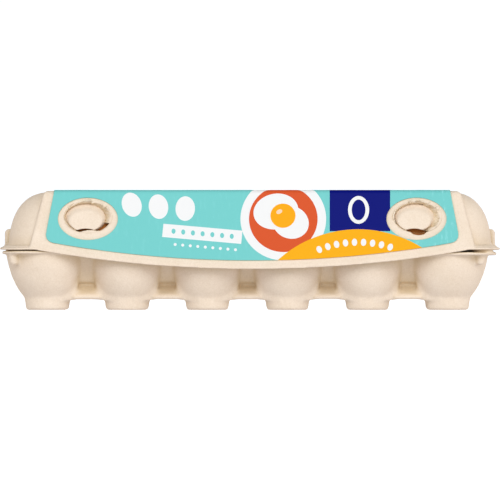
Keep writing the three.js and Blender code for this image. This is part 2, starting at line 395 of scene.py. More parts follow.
def postCutter():
    places = [(x + carton["traySlip"], y, 0) for x in postXs for y in postYs]
    return joinAll("posts", copyToAll(turned(tray["post"], tray["postSides"]), places))


def seamPlate(halfX, sideInset, corner):
    halfY = carton["rimHalfDepth"] - sideInset
    return plate(halfX, halfY, corner, *tray["seamZ"], tray["rimRound"])


def trayRims():
    halfX, halfY, corner = carton["rimHalfLength"], carton["rimHalfDepth"], carton["rimCorner"]
    rims = [plate(halfX, halfY, corner, *tray["rimZ"], tray["rimRound"])]
    for endInset, sideInset, seamCorner in tray["seams"]:
        rims.append(seamPlate(halfX - endInset, sideInset, seamCorner))
    pressed = seamPlate(*tray["pressedEnd"])
    pressed.location.x = tray["pressedEndX"] * mm
    rims.append(settle(pressed))
    rims[0].rotation_euler.y = math.radians(tray["rimTilt"])
    for rim in rims:
        rim.location.x = carton["rimSlip"] * mm
        cutWith(settle(rim), postCutter())
    return rims


def trayLugs():
    angle = math.radians(tray["lugAngle"])
    lugX = cupXs[-1] + tray["lugReach"] * math.cos(angle)
    lugY = cupYs[-1] + tray["lugReach"] * math.sin(angle)
    lug = turned(tray["lug"], tray["lugSides"])
    return copyToAll(lug, [(i * lugX, j * lugY, 0) for i in (-1, 1) for j in (-1, 1)])


def addTray():
    cups = copyToAll(turned(cupRings(), tray["sides"]), [(x, y, 0) for x in cupXs for y in cupYs])
    body = joinAll("cups", cups + trayLugs() + trayWebs() + trayValleys())
    body.location.x = carton["traySlip"] * mm
    whole = joinAll("tray", [settle(body), *trayRims()])
    plainLow, plainHigh = tray["plainZ"]
    rimX, rimY, rimZ = tray["driftFrom"]
    softLow, softFull, softHigh = tray["softZ"]

    def shown(at, normal):
        return plainLow <= at.z <= plainHigh

    def drift(at, normal):
        return at.z > rimZ and (abs(at.x) > rimX or abs(at.y) > rimY)

    def soft(at, normal):
        return min(1, (at.z - softLow) / (softFull - softLow)) if at.z < softHigh else 0

    return mouldPulp(whole, tray, shown, drift, soft)


# The lid: a flat-topped body with three domes at each end, a rim and a flap in front

lid = {
    "halfLength": 133.6,
    "endSlope": 14.6,
    "creaseRound": 1.2,
    "creaseSegments": 3,
    "edgeSegments": 5,
    "rimHalfDepth": 74.5,
    "rimThickness": 1.3,
    "rimRound": 0.4,
    "coveInset": 1.6,
    "coveRise": 1.3,
    "overhang": 1.65,
    "domeRadius": 24.5,
    "domeHeight": 34.4,
    "domePower": 2.3,
    "domeTopRadius": 1.2,
    "domeRings": 12,
    "domeSides": 64,
    "domeFlare": [(27, 0.6), (25.9, 1.6), (25.1, 3)],
    "gusset": ((117, -4, 35.5), (147, 4, 48.5)),
    "gussetRound": 2.6,
    "gussetSegments": 4,
    "flapHalfLength": 131.6,
    "flapThickness": 2.2,
    "flapLowZ": 24.6,
    "flapTopZ": 39.1,
    "flapEnd": (120, 34.4),  # x and z of its lower edge near the ends
    "discSides": 1600,  # the disc that gives the flap its curved edge
    "discDepth": 400,
    "lipHeight": 2.6,
    "lipProud": 0.3,
    "voxel": 0.55,
    "smoothing": 5,
    "softening": 0,
    "plainZ": (35.5, 36.7),  # no relief on the underside of the rim
    "driftFrom": (135.6, 38.6),  # beyond this x and below this z, so the rim's ends alone
    "triangles": 190000,
    "relief": [
        ("lidUneven", 26, 0.3, "NORMAL", "shown"),
        ("lidGrain", 3, 0.14, "NORMAL", "shown"),
        ("lidDrift", 50, 0.8, "Z", "drift"),
    ],
}


def lidBody():
    low, high = carton["lidZ"], carton["plateauZ"]
    halfX, halfY = lid["halfLength"], carton["panelFootY"]
    topX = halfX - (high - low) * math.tan(math.radians(lid["endSlope"]))
    body = block((-halfX, -halfY, low), (halfX, halfY, high))
    movePoints(body, above(high - 1), resize=(topX / halfX, -panelY(high) / halfY, 1))
    bevelEdges(body, upright, lid["creaseRound"], lid["creaseSegments"])

    def topEdge(a, b):
        return min(a.z, b.z) > high - 0.1

    return bevelEdges(body, topEdge, carton["edgeRound"], lid["edgeSegments"])


def flapDisc(inset=0):
    endX, endZ = lid["flapEnd"]
    rise = endZ - lid["flapLowZ"]
    radius = (endX**2 + rise**2) / (2 * rise)
    bpy.ops.mesh.primitive_cylinder_add(
        vertices=lid["discSides"], radius=(radius - inset) * mm, depth=lid["discDepth"] * mm,
        location=(0, 0, (lid["flapLowZ"] + radius) * mm), rotation=(math.pi / 2, 0, 0),
    )
    return settle(bpy.context.object)


def flapSlab(proud):
    low, high = lid["flapLowZ"] - 1, lid["flapTopZ"]
    halfX, front = lid["flapHalfLength"], panelY(lid["flapTopZ"]) - proud
    slab = block((-halfX, front, low), (halfX, front + lid["flapThickness"], high))
    return movePoints(slab, below(low + 1), (0, panelY(low) - panelY(high), 0))


def lidFlap():
    flap = cutWith(flapSlab(0), flapDisc(), "INTERSECT")
    lip = cutWith(flapSlab(lid["lipProud"]), flapDisc(), "INTERSECT")
    return [flap, cutWith(lip, flapDisc(lid["lipHeight"]))]


def domeRings():
    rings = list(lid["domeFlare"])
    for i in range(1, lid["domeRings"]):
        height = math.sin(i / lid["domeRings"] * math.pi / 2)
        radius = lid["domeRadius"] * (1 - height ** lid["domePower"]) ** (1 / lid["domePower"])
        if height * lid["domeHeight"] > rings[-1][1]:
            rings.append((radius, height * lid["domeHeight"]))
    rings.append((lid["domeTopRadius"], lid["domeHeight"]))
    return rings


def lidDomes():
    places = [(x, y, carton["lidZ"]) for x in (cupXs[0], cupXs[-1]) for y in cupYs]
    return copyToAll(turned(domeRings(), lid["domeSides"]), places)


def lidGussets():
    low, high = lid["gusset"]

    def outerEdge(a, b):
        return min(a.x, b.x) > high[0] - 0.1

    gusset = bevelEdges(block(low, high), outerEdge, lid["gussetRound"], lid["gussetSegments"])
    return copyToAll(gusset, [(0, y, 0) for y in postYs] + [(0, y, 0, 180) for y in postYs])


def lidRim(inset, rise, edge):
    over = lid["overhang"] - inset
    low, high = carton["lidZ"], carton["lidZ"] + lid["rimThickness"] + rise
    halfX, halfY = carton["rimHalfLength"] + over, lid["rimHalfDepth"] - inset
    return cutWith(plate(halfX, halfY, carton["rimCorner"] + over, low, high, edge), postCutter())


def addLid():
    body = lidBody()
    panel = [body, *lidFlap()]
    for piece in panel:
        piece.location.x = carton["panelSlip"] * mm
        settle(piece)
    for lock in locks:
        cutLockHole(body, lock)
    cutWith(body, postCutter())
    rims = [lidRim(0, 0, lid["rimRound"]), lidRim(lid["coveInset"], lid["coveRise"], lid["coveRise"])]
    whole = joinAll("lid", [*panel, *rims, *lidDomes(), *lidGussets(), *lockTongues()])
    plainLow, plainHigh = lid["plainZ"]
    rimX, rimZ = lid["driftFrom"]

    def shown(at, normal):
        return not (facesDown(normal) and plainLow < at.z < plainHigh)

    def drift(at, normal):
        return at.z < rimZ and abs(at.x) > rimX

    return mouldPulp(whole, lid, shown, drift)


# The two locks: each is a bean-shaped knob of the tray in a hole of the lid's panel, with a torn
# edge that the knob has pushed inwards. The left one still has its tongue of pulp. Angles are in
# degrees round the hole: "open" says where the torn edge reaches only a part of the way inwards,
# and "cracks" where it has come off the knob.

locks = [
    {
        "x": carton["panelSlip"] - carton["lockX"], "holeShift": 0, "tongue": True,
        "open": [(-62, -20, 0.15), (-122, -62, 0)],
        "cracks": [(74, 102), (122, 181), (-181, -168)],
    },
    {
        "x": carton["panelSlip"] + carton["lockX"], "holeShift": 0.6, "tongue": False,
        "open": [(-116, -60, 0)],
        "cracks": [(62, 112), (150, 181), (-181, -150), (-40, -15)],
    },
]
lockHole = {
    "z": 55.4,
    "half": (14, 9.25),
    "sides": 72,
    "depth": 7,
    "proud": 5,  # what cuts the hole sticks out that far
    "tongueHalf": (6.2, 1.7, 1.2),
    "tonguePlace": (1.6, -9.3),
    "lobeHalf": (4.6, 2.4),  # where the tongue has torn off
    "lobePlace": (0.6, -8.4),
}


def roundPlug(half, depth, place=(0, 0, 0), sides=48):
    bpy.ops.mesh.primitive_cylinder_add(
        vertices=sides, radius=1, depth=depth * mm, location=[value * mm for value in place]
    )
    plug = bpy.context.object
    plug.scale = (half[0] * mm, half[1] * mm, 1)
    return settle(plug)


def holeCutter(lock, half, place=(0, 0), sides=48):
    deep, proud = lockHole["depth"], lockHole["proud"]
    cutter = roundPlug(half, deep + proud, (*place, (proud - deep) / 2), sides)
    return placeOnPanel(cutter, lock["x"] + lock["holeShift"], lockHole["z"])


def cutLockHole(body, lock):
    cutWith(body, holeCutter(lock, lockHole["half"], sides=lockHole["sides"]))
    if not lock["tongue"]:
        cutWith(body, holeCutter(lock, lockHole["lobeHalf"], lockHole["lobePlace"]))


def lockTongues():
    wide, high, thick = lockHole["tongueHalf"]
    tongues = []
    for lock in locks:
        if lock["tongue"]:
            tongue = roundPlug((wide, high), 2 * thick, (*lockHole["tonguePlace"], -thick))
            tongues.append(placeOnPanel(tongue, lock["x"], lockHole["z"]))
    return tongues


lockKnob = {
    "rings": [  # half width, half height, height out of the panel, shift up the panel
        (12.2, 9, -8, 1),
        (12.1, 8.9, -3.2, 0.5),
        (11.7, 8.5, -2.5, 0.2),
        (10.1, 6.9, -0.2, -1.8),
        (9.6, 6.4, 0.2, -2.2),
        (9, 5.8, 0.35, -2.3),
    ],
    "sides": 72,
    "shift": -1.4,
    "notchRadius": 15,
    "notchTop": -7.5,
    "notchDepth": 30,
    "notchSides": 128,
    "voxel": 0.35,
    "smoothing": 4,
    "softening": 0,
    "triangles": 60000,
    "relief": [
        ("knobUneven", 7, 0.3, "NORMAL", "shown"),
        ("knobGrain", 1.4, 0.1, "NORMAL", "shown"),
    ],
}


def addLockKnob(lock):
    (wide, high, out, up), rest = lockKnob["rings"][0], lockKnob["rings"][1:]
    bpy.ops.mesh.primitive_circle_add(
        vertices=lockKnob["sides"], radius=mm, fill_type="NGON", location=(0, up * mm, out * mm)
    )
    knob = bpy.context.object
    knob.scale = (wide, high, 1)
    settle(knob)
    bpy.ops.object.mode_set(mode="EDIT")
    bpy.ops.mesh.select_all(action="SELECT")
    for nextWide, nextHigh, nextOut, nextUp in rest:
        bpy.ops.mesh.extrude_region_move()
        bpy.ops.transform.resize(value=(nextWide / wide, nextHigh / high, 1))
        bpy.ops.transform.translate(value=(0, (nextUp - up) * mm, (nextOut - out) * mm))
        wide, high, out, up = nextWide, nextHigh, nextOut, nextUp
    doneEditing()
    radius = lockKnob["notchRadius"]
    notch = roundPlug((radius, radius), lockKnob["notchDepth"], sides=lockKnob["notchSides"])
    notch.rotation_euler.x = slope
    notch.location.y = (lockKnob["notchTop"] - radius) * mm
    cutWith(knob, settle(notch))
    return placeOnPanel(knob, lock["x"] + lockKnob["shift"], lockHole["z"])


def addLockKnobs():
    knobs = joinAll("lockKnobs", [addLockKnob(lock) for lock in locks])
    return mouldPulp(knobs, lockKnob)


# The torn edges of the holes

tornEdge = {
    "sides": 180,
    "rings": [  # part of the way from the panel to the knob, and height out of the panel
        (0, 0.08),
        (0.1, 0.14),
        (0.28, -0.2),
        (0.6, -1.7),
        (1, -3.4),
    ],
    "overlap": 0.4,  # onto the panel
    "overlapInside": 0.3,  # under the knob
    "crack": 0.3,  # where the edge stands off the knob
    "crackRagged": 0.5,
    "fullWidth": 2.6,  # narrower than this, the edge isn't bent in as deep
    "ragged": 0.35,
    "flakeMiddle": 80,  # degrees round the hole, where flakes of pulp stand up
    "flakeSpread": 78,
    "flakeReach": 2.2,
    "flakeEven": 0.6,  # the part of their reach that they have in common
    "flakeHeight": 1.5,
    "thickness": 0.6,
    "shadeAngle": 50,
    "seed": 7,
}


def howTorn(angle):
    return max(0, 1 - ((angle - tornEdge["flakeMiddle"]) / tornEdge["flakeSpread"]) ** 2)


def roughRings(lock):
    chance = random.Random(tornEdge["seed"] + round(lock["x"]))
    sides = range(tornEdge["sides"])
    rows = [[chance.uniform(-1, 1) for _ in sides] for _ in tornEdge["rings"]]
    return [[(row[i - 3] + row[i - 2] + row[i - 1] + row[i]) / 2 for i in sides] for row in rows]


def aroundHole(angle, wide, high, across, up):
    return Vector((across + wide * math.cos(angle), up + high * math.sin(angle), 0))


def tornPlace(lock, rough, ring, side):
    degrees = 360 * side / tornEdge["sides"] - 180
    angle = math.radians(degrees)
    torn = howTorn(degrees)
    part, out = tornEdge["rings"][ring]
    between = 0 < ring < len(tornEdge["rings"]) - 1
    reach = min([1] + [far for low, high, far in lock["open"] if low < degrees < high])

    even = tornEdge["flakeEven"]
    lap = tornEdge["overlap"]
    if ring == 0:
        lap += tornEdge["flakeReach"] * torn * (even + (1 - even) * rough[0][side])
    gap = -tornEdge["overlapInside"]
    if any(low < degrees < high for low, high in lock["cracks"]):
        gap = tornEdge["crack"] * (1 + rough[-1][side] * (tornEdge["crackRagged"] + torn))

    wide, high = lockHole["half"]
    knobWide, knobHigh, _, knobUp = lockKnob["rings"][1]
    start = aroundHole(angle, wide + lap, high + lap, lock["holeShift"], 0)
    stop = aroundHole(angle, knobWide + gap, knobHigh + gap, lockKnob["shift"], knobUp)
    deep = reach * min(1, (stop - start).length / tornEdge["fullWidth"])
    unevenness = rough[ring][side] * between
    place = start.lerp(stop, part * reach * (1 + tornEdge["ragged"] * unevenness))
    place.z = out * deep + tornEdge["flakeHeight"] * torn * max(0, unevenness)
    return place


def addTornEdge(lock):
    rough = roughRings(lock)
    bpy.ops.mesh.primitive_circle_add(vertices=tornEdge["sides"], radius=1)
    edge = bpy.context.object
    bpy.ops.object.mode_set(mode="EDIT")
    for _ in tornEdge["rings"][1:]:
        bpy.ops.mesh.extrude_region_move()
    doneEditing()
    for i, vertex in enumerate(edge.data.vertices):
        vertex.co = tornPlace(lock, rough, *divmod(i, tornEdge["sides"])) * mm
    modify(edge, "SOLIDIFY", thickness=tornEdge["thickness"] * mm, offset=-1)
    return placeOnPanel(edge, lock["x"], lockHole["z"])


def addTornEdges():
    edges = joinAll("tornEdges", [addTornEdge(lock) for lock in locks])
    bpy.ops.object.mode_set(mode="EDIT")
    turnFacesOutwards()
    bpy.ops.object.shade_smooth_by_angle(angle=math.radians(tornEdge["shadeAngle"]))
    return edges


# Dark plates of painted shade at the bottom of the lock pockets, standing for the shadowed inside of
# the carton seen past the knobs

shadePlate = {"half": (13.8, 11.5), "depth": (-5, -4.7), "sides": 64, "edge": 0.1}


def addShadePlates():
    low, high = shadePlate["depth"]
    floors = []
    for lock in locks:
        floor = roundPlug(shadePlate["half"], high - low, sides=shadePlate["sides"])
        modify(floor, "BEVEL", width=shadePlate["edge"] * mm, segments=1)
        x = lock["x"] + lock["holeShift"]
        floors.append(placeOnPanel(floor, x, lockHole["z"], (low + high) / 2))
    return joinAll("pocketShadePlates", floors)


# The fold along the back, where the lid and the tray are one

hinge = {
    "radius": 2.3,
    "halfLength": 117.5,
    "y": 75.7,
    "z": 35.6,
    "sides": 40,
    "endRound": 2,
    "endSegments": 4,
    "voxel": 0.5,
    "smoothing": 2,
    "softening": 0,
    "triangles": 90000,
    "relief": [
        ("hingeUneven", 15, 0.9, "NORMAL", "shown"),
        ("hingeGrain", 2, 0.2, "NORMAL", "shown"),
    ],
}


def addHinge():
    bpy.ops.mesh.primitive_cylinder_add(
        vertices=hinge["sides"], radius=hinge["radius"] * mm, depth=2 * hinge["halfLength"] * mm,
        location=(0, hinge["y"] * mm, hinge["z"] * mm), rotation=(0, math.pi / 2, 0),
    )
    fold = settle(bpy.context.object, "hingeFold")

    def endEdge(a, b):
        return abs(a.x - b.x) < 0.1 and abs(a.x) > hinge["halfLength"] - 0.1

    bevelEdges(fold, endEdge, hinge["endRound"], hinge["endSegments"])
    return mouldPulp(fold, hinge)


# The paper label: made flat, x along the carton and v up the panel and over the top from the
# middle of the rounded edge, then bent round that edge

label = {
    "gap": 0.3,  # for the glue
    "thickness": 0.3,
    "topHalf": 118.3,
    "sideSlope": 10.8,
    "lowZ": 29.7,
    "corner": (118, 40),  # x and z
    "sideZ": 47,  # where its straight ends begin
    "backY": 56,
    "backRound": 6,
    "ring": (18, 12.7),
    "ringZ": 54.5,
    "ringSides": 128,
    "bowSteps": 48,
    "cornerSteps": 10,
    "backSteps": 8,
    "across": 126,  # faces along the carton
    "rows": (20, 14, 50),  # faces up the panel, over the bend and over the top
    "bendMargin": 0.4,
    "blankWidth": 258,
    "margin": 1,  # of the blank below and behind, until the outline is cut
    "cutDepth": 10,
    "wave": ("labelWave", 14),
    "waveHeight": 0.1,
    "waveMiddle": 0.2,
    "shadeAngle": 40,
}
bendTurn = math.pi / 2 - slope
bendCentreY = panelY(carton["plateauZ"])
bendCentreY += carton["edgeRound"] * (1 - math.sin(slope)) / math.cos(slope)
bendCentreZ = carton["plateauZ"] - carton["edgeRound"]
bendRadius = carton["edgeRound"] + label["gap"]
bendHalf = bendRadius * bendTurn / 2
panelTopZ = bendCentreZ + bendRadius * math.sin(slope)
backV = bendHalf + label["backY"] - bendCentreY


def sheetV(z):
    return -bendHalf - (panelTopZ - z) / math.cos(slope)


def bent(x, v, out):
    angle = (math.pi + bendTurn - max(-1, min(1, v / bendHalf)) * bendTurn) / 2
    radius = bendRadius + out
    y = bendCentreY + radius * math.cos(angle)
    z = bendCentreZ + radius * math.sin(angle)
    past = max(0, abs(v) - bendHalf)
    if v < 0:
        return Vector((x, y - past * math.sin(slope), z - past * math.cos(slope))) * mm
    return Vector((x, y + past, z)) * mm


def curved(start, pull, end, steps):
    points = []
    for i in range(steps + 1):
        t = i / steps
        weights = ((1 - t) ** 2, 2 * t * (1 - t), t * t)
        weighted = list(zip(weights, (start, pull, end)))
        points.append(tuple(sum(weight * point[k] for weight, point in weighted) for k in (0, 1)))
    return points


def halfAt(z):
    return label["topHalf"] + (carton["plateauZ"] - z) * math.tan(math.radians(label["sideSlope"]))


def labelOutline():
    cornerX, cornerZ = label["corner"]
    sideZ, steps = label["sideZ"], label["bowSteps"]
    bow = curved((0, label["lowZ"]), (cornerX / 2, label["lowZ"]), (cornerX, cornerZ), steps)
    pull, side = (halfAt(cornerZ), cornerZ + 1), (halfAt(sideZ), sideZ)
    corner = curved((cornerX, cornerZ), pull, side, label["cornerSteps"])
    right = [(x, sheetV(z)) for x, z in bow + corner[1:]]
    right.append((label["topHalf"], 0))
    radius = label["backRound"]
    centreX, centreV = label["topHalf"] - radius, backV - radius
    for i in range(label["backSteps"] + 1):
        angle = i / label["backSteps"] * math.pi / 2
        right.append((centreX + radius * math.cos(angle), centreV + radius * math.sin(angle)))
    return right + [(-x, v) for x, v in reversed(right) if x > 0]


def thicken(low, height):
    piece = bpy.context.object
    for vertex in piece.data.vertices:
        vertex.co.z = low * mm
    bpy.ops.object.mode_set(mode="EDIT")
    bpy.ops.mesh.select_all(action="SELECT")
    bpy.ops.mesh.extrude_region_move(TRANSFORM_OT_translate={"value": (0, 0, height * mm)})
    return turnFacesOutwards()


def outlineCutter():
    points, deep = labelOutline(), label["cutDepth"]
    bpy.ops.mesh.primitive_circle_add(vertices=len(points), fill_type="NGON")
    for vertex, (x, v) in zip(bpy.context.object.data.vertices, points):
        vertex.co = (x * mm, v * mm, 0)
    return thicken(-deep / 2, deep)


def sheetRows():
    low, high = sheetV(label["lowZ"]) - label["margin"], backV + label["margin"]
    edge = bendHalf + label["bendMargin"]
    up, over, back = label["rows"]
    rows = [low + (-edge - low) * i / up for i in range(up)]
    rows += [-edge + 2 * edge * i / over for i in range(over)]
    return rows + [edge + (high - edge) * i / back for i in range(back + 1)]


def labelBlank():
    rows, across = sheetRows(), label["across"]
    bpy.ops.mesh.primitive_grid_add(x_subdivisions=across, y_subdivisions=len(rows) - 1, size=1)
    for i, vertex in enumerate(bpy.context.object.data.vertices):
        vertex.co = (vertex.co.x * label["blankWidth"] * mm, rows[i // (across + 1)] * mm, 0)
    return thicken(0, label["thickness"])


def addLabel():
    sheet = cutWith(labelBlank(), outlineCutter(), "INTERSECT")
    halfX, halfZ = label["ring"]
    for x in (-carton["lockX"], carton["lockX"]):
        place = (x, sheetV(label["ringZ"]), 0)
        half = (halfX, halfZ / math.cos(slope))
        cutWith(sheet, roundPlug(half, label["cutDepth"], place, label["ringSides"]))
    flat = sheet.data.uv_layers.new(name="sheet")
    for loop in sheet.data.loops:
        place = sheet.data.vertices[loop.vertex_index].co
        flat.data[loop.index].uv = (place.x / mm, place.y / mm)
    for vertex in sheet.data.vertices:
        vertex.co = bent(*(vertex.co / mm))
    sheet.location.x = carton["panelSlip"] * mm
    settle(sheet, "paperLabel")
    modify(
        sheet, "DISPLACE", texture=cloud(*label["wave"]), strength=label["waveHeight"] * mm,
        mid_level=label["waveMiddle"],
    )
    pick(sheet)
    bpy.ops.object.shade_smooth_by_angle(angle=math.radians(label["shadeAngle"]))
    return sheet


# Materials


def linear(colour):
    parts = [int(colour[i:i + 2], 16) / 255 for i in (1, 3, 5)]
    return (*[p / 12.92 if p <= 0.04045 else ((p + 0.055) / 1.055) ** 2.4 for p in parts], 1)


def addNode(material, kind, inputs, **settings):
    node = material.node_tree.nodes.new("ShaderNode" + kind)
    for name, value in settings.items():
        setattr(node, name, value)
    for name, value in inputs.items():
        if isinstance(value, bpy.types.NodeSocket):
            material.node_tree.links.new(value, node.inputs[name])
        else:
            node.inputs[name].default_value = value
    return node.outputs


def newMaterial(name):
    material = bpy.data.materials.new(name)
    material.use_nodes = True
    return material, material.node_tree.nodes["Principled BSDF"]


def connect(material, output, socket):
    material.node_tree.links.new(output, socket)


def noise(material, place, scale, detail, **more):
    inputs = {"Vector": place, "Scale": scale, "Detail": detail, **more}
    return addNode(material, "TexNoise", inputs)["Fac"]


def remap(material, value, low, high, toLow=0.0, toHigh=1.0):
    inputs = {"Value": value, "From Min": low, "From Max": high, "To Min": toLow, "To Max": toHigh}
    return addNode(material, "MapRange", inputs)[0]


def compute(material, operation, *values):
    return addNode(material, "Math", dict(enumerate(values)), operation=operation)[0]


def mix(material, share, first, second, **settings):
    inputs = {0: share, 6: first, 7: second}
    return addNode(material, "Mix", inputs, data_type="RGBA", **settings)[2]


def finishSurface(material, surface, settings, colour, relief=None):
    connect(material, colour, surface.inputs["Base Color"])
    surface.inputs["Roughness"].default_value = settings["roughness"]
    surface.inputs["Specular IOR Level"].default_value = settings["specular"]
    if relief:
        inputs = {"Height": relief, "Distance": settings["bump"] * mm, "Strength": 1}
        connect(material, addNode(material, "Bump", inputs)[0], surface.inputs["Normal"])
    return material


# Moulded paper pulp: a mat of short fibres sucked onto a wire mould and dried, quite matt, its
# colour a little uneven and its surface finely pitted
pulp = {
    "light": "#EBD7C0",
    "dark": "#E1CBB1",
    "tones": (1.1, 1.9),  # the sum of the three patterns where it is darkest and lightest
    "cloudSize": 16,
    "grainSize": 0.9,
    "fibreSize": 2.4,
    "fibreTwist": 2.2,
    "fleck": "#B79F85",
    "fleckSize": 1.6,
    "fleckEdge": (0.16, 0.05),  # where a fleck begins and is full, in parts of its size
    "fleckStrength": 0.35,
    "roughness": 0.92,
    "specular": 0.2,
    "bump": 0.05,
    "hollow": "#EFECDD",  # painted shade, multiplied into the colour in corners and hollows
    "hollowReach": 14,
    "hollowOpen": (0.57, 0.9),  # how open a place is to its surroundings where the painted shade is full and where it stops
    "hollowSamples": 8,
}
# Painted shade: the dark browns of the plates in the lock pockets
pocketShadePaint = {
    "light": "#B5733A",
    "dark": "#8A5226",
    "cloudSize": 2.5,
    "roughness": 0.95,
    "specular": 0,
}


def mouldedPulp(name, hollows):
    material, surface = newMaterial(name)
    coords = addNode(material, "TexCoord", {})["Object"]
    clouds = noise(material, coords, 1000 / pulp["cloudSize"], 3)
    grain = noise(material, coords, 1000 / pulp["grainSize"], 2)
    fibres = noise(material, coords, 1000 / pulp["fibreSize"], 4, Distortion=pulp["fibreTwist"])
    mixed = compute(material, "ADD", compute(material, "ADD", clouds, grain), fibres)
    tone = remap(material, mixed, *pulp["tones"])
    colour = mix(material, tone, linear(pulp["dark"]), linear(pulp["light"]))
    spots = addNode(material, "TexVoronoi", {"Vector": coords, "Scale": 1000 / pulp["fleckSize"]})
    fleck = remap(material, spots["Distance"], *pulp["fleckEdge"], toHigh=pulp["fleckStrength"])
    colour = mix(material, fleck, colour, linear(pulp["fleck"]))
    # Painted shade: the colour is darkened where ambient occlusion finds the pulp hemmed in
    if hollows:
        around = {"Distance": pulp["hollowReach"] * mm}
        openness = addNode(material, "AmbientOcclusion", around, samples=pulp["hollowSamples"])["AO"]
        hollow = remap(material, openness, *pulp["hollowOpen"], toLow=1.0, toHigh=0.0)
        colour = mix(material, hollow, colour, linear(pulp["hollow"]), blend_type="MULTIPLY")
    return finishSurface(material, surface, pulp, colour, compute(material, "ADD", grain, fibres))


def shadedPulp():
    material, surface = newMaterial("shadedPulp")
    coords = addNode(material, "TexCoord", {})["Object"]
    clouds = noise(material, coords, 1000 / pocketShadePaint["cloudSize"], 3)
    colour = mix(material, clouds, linear(pocketShadePaint["dark"]), linear(pocketShadePaint["light"]))
    return finishSurface(material, surface, pocketShadePaint, colour)


# Printed paper: smooth wood-free paper under offset ink with a thin varnish, so a soft gloss
paper = {
    "roughness": 0.5,
    "specular": 0.05,
    "grainScale": 1.2,
    "bump": 0.02,
}
printColours = {
    "teal": "#72C1B9",
    # painted sheen for the pale streaks on the teal
    "paintedSheen": "#9ADAD6",
    "navy": "#060F6B",
    "amber": "#ECA412",
    "terracotta": "#CF5228",
    "white": "#E6E2DC",
    "yolk": "#F2A012",
    "peach": "#EBC9A6",
}
sheenStreaks = {  # painted sheen: pale streaks on the teal where its gloss varies, most at its right end
    "width": 2.2,
    "length": 9,
    "turn": -14,
    "ragged": 0.65,
    "edge": (0.54, 0.7),
    "x": (84, 112),
    "strength": (0.12, 0.75),
}
# Motifs on the flat sheet, each over those before it: kind, colour, centre, half size and turn
motifs = [
    ("box", "navy", (64.4, 6.5), (18.1, 31.5), 0),
    ("disc", "white", (18.6, -17.4), (25.6, 25.6), 0),
    ("disc", "terracotta", (18.6, -17.4), (20.5, 20.5), 0),
    ("disc", "white", (14.2, -12.8), (13.5, 11), 12),
    ("disc", "white", (23, -19.5), (11, 10), -25),
    ("disc", "yolk", (18.4, -15.4), (7.5, 7.5), 0),
    ("disc", "peach", (16.2, -12.9), (1.9, 1.3), 30),
    ("disc", "white", (63.6, -11.8), (6.3, 8.6), 0),
    ("disc", "navy", (63.6, -11.8), (4.1, 6.4), 0),
    ("box", "white", (-29.8, -26.6), (23.7, 4.1), -5.2),
    ("disc", "amber", (63.3, -93.8), (70, 70), 0),
    ("box", "amber", (0, 107), (130, 5), 0),
    ("disc", "white", (-56, 60), (27, 21), 15),
    ("disc", "white", (-39, 49), (17, 15), 0),
    ("disc", "yolk", (-55, 58), (11, 11), 0),
    ("disc", "peach", (-59, 62.5), (2.8, 1.9), 30),
]
# Rows of discs: colours, first centre, step, half size, first turn and its step
motifRows = [
    (("white", "white"), (14, 68), (48, 0), (8.2, 10.6), 16, -20),
    (("terracotta", "peach"), (38, 73), (48, 0), (8.2, 10.6), 6, -20),
    (("white",) * 3, (-72, -8.6), (16, -1.2), (5.8, 7.6), 18, -10),
    (("teal",) * 7, (-47, -25), (5.8, -0.53), (1.2, 1.6), 0, 0),
    (("white",) * 9, (-46, -33.2), (4.5, -0.41), (0.9, 0.9), 0, 0),
    (("white",) * 10, (-99, 107), (22, 0), (1.8, 2.4), 0, 0),
]
arcOfDots = {
    "count": 9,
    "centre": (63.3, -93.8),
    "radius": 62,
    "angle": 112,
    "step": -5,
    "half": (1.6, 2.2),
}


def printShapes():
    shapes = list(motifs)
    for colours, (x, v), (stepX, stepV), half, turn, stepTurn in motifRows:
        for i, colour in enumerate(colours):
            at = (x + stepX * i, v + stepV * i)
            shapes.append(("disc", colour, at, half, turn + stepTurn * i))
    x, v = arcOfDots["centre"]
    for i in range(arcOfDots["count"]):
        degrees = arcOfDots["angle"] + arcOfDots["step"] * i
        angle = math.radians(degrees)
        at = (x + arcOfDots["radius"] * math.cos(angle), v + arcOfDots["radius"] * math.sin(angle))
        shapes.append(("disc", "white", at, arcOfDots["half"], degrees - 90))
    return shapes


def insideShape(material, place, kind, centre, half, turn):
    inputs = {
        "Vector": place, "Location": (*centre, 0),
        "Rotation": (0, 0, math.radians(turn)), "Scale": (*half, 1),
    }
    local = addNode(material, "Mapping", inputs, vector_type="TEXTURE")[0]
    if kind == "disc":
        reach = addNode(material, "VectorMath", {0: local}, operation="LENGTH")["Value"]
    else:
        sides = addNode(material, "VectorMath", {0: local}, operation="ABSOLUTE")[0]
        sides = addNode(material, "SeparateXYZ", {0: sides})
        reach = compute(material, "MAXIMUM", sides[0], sides[1])
    return compute(material, "LESS_THAN", reach, 1.0)


def printedPaper():
    material, surface = newMaterial("printedPaper")
    place = addNode(material, "UVMap", {}, uv_map="sheet")["UV"]
    ink = {name: linear(colour) for name, colour in printColours.items()}
    # Painted sheen: pale streaks mixed into the teal
    streaks = addNode(material, "Mapping", {
        "Vector": place, "Rotation": (0, 0, math.radians(sheenStreaks["turn"])),
        "Scale": (1 / sheenStreaks["width"], 1 / sheenStreaks["length"], 1),
    })[0]
    rough = noise(material, streaks, 1, 5, Roughness=sheenStreaks["ragged"])
    across = addNode(material, "SeparateXYZ", {0: place})[0]
    most = remap(material, across, *sheenStreaks["x"], *sheenStreaks["strength"])
    sheenShare = remap(material, rough, *sheenStreaks["edge"], toHigh=most)
    colour = mix(material, sheenShare, ink["teal"], ink["paintedSheen"])
    for kind, name, centre, half, turn in printShapes():
        inside = insideShape(material, place, kind, centre, half, turn)
        colour = mix(material, inside, colour, ink[name])
    grain = noise(material, place, paper["grainScale"], 3)
    return finishSurface(material, surface, paper, colour, grain)
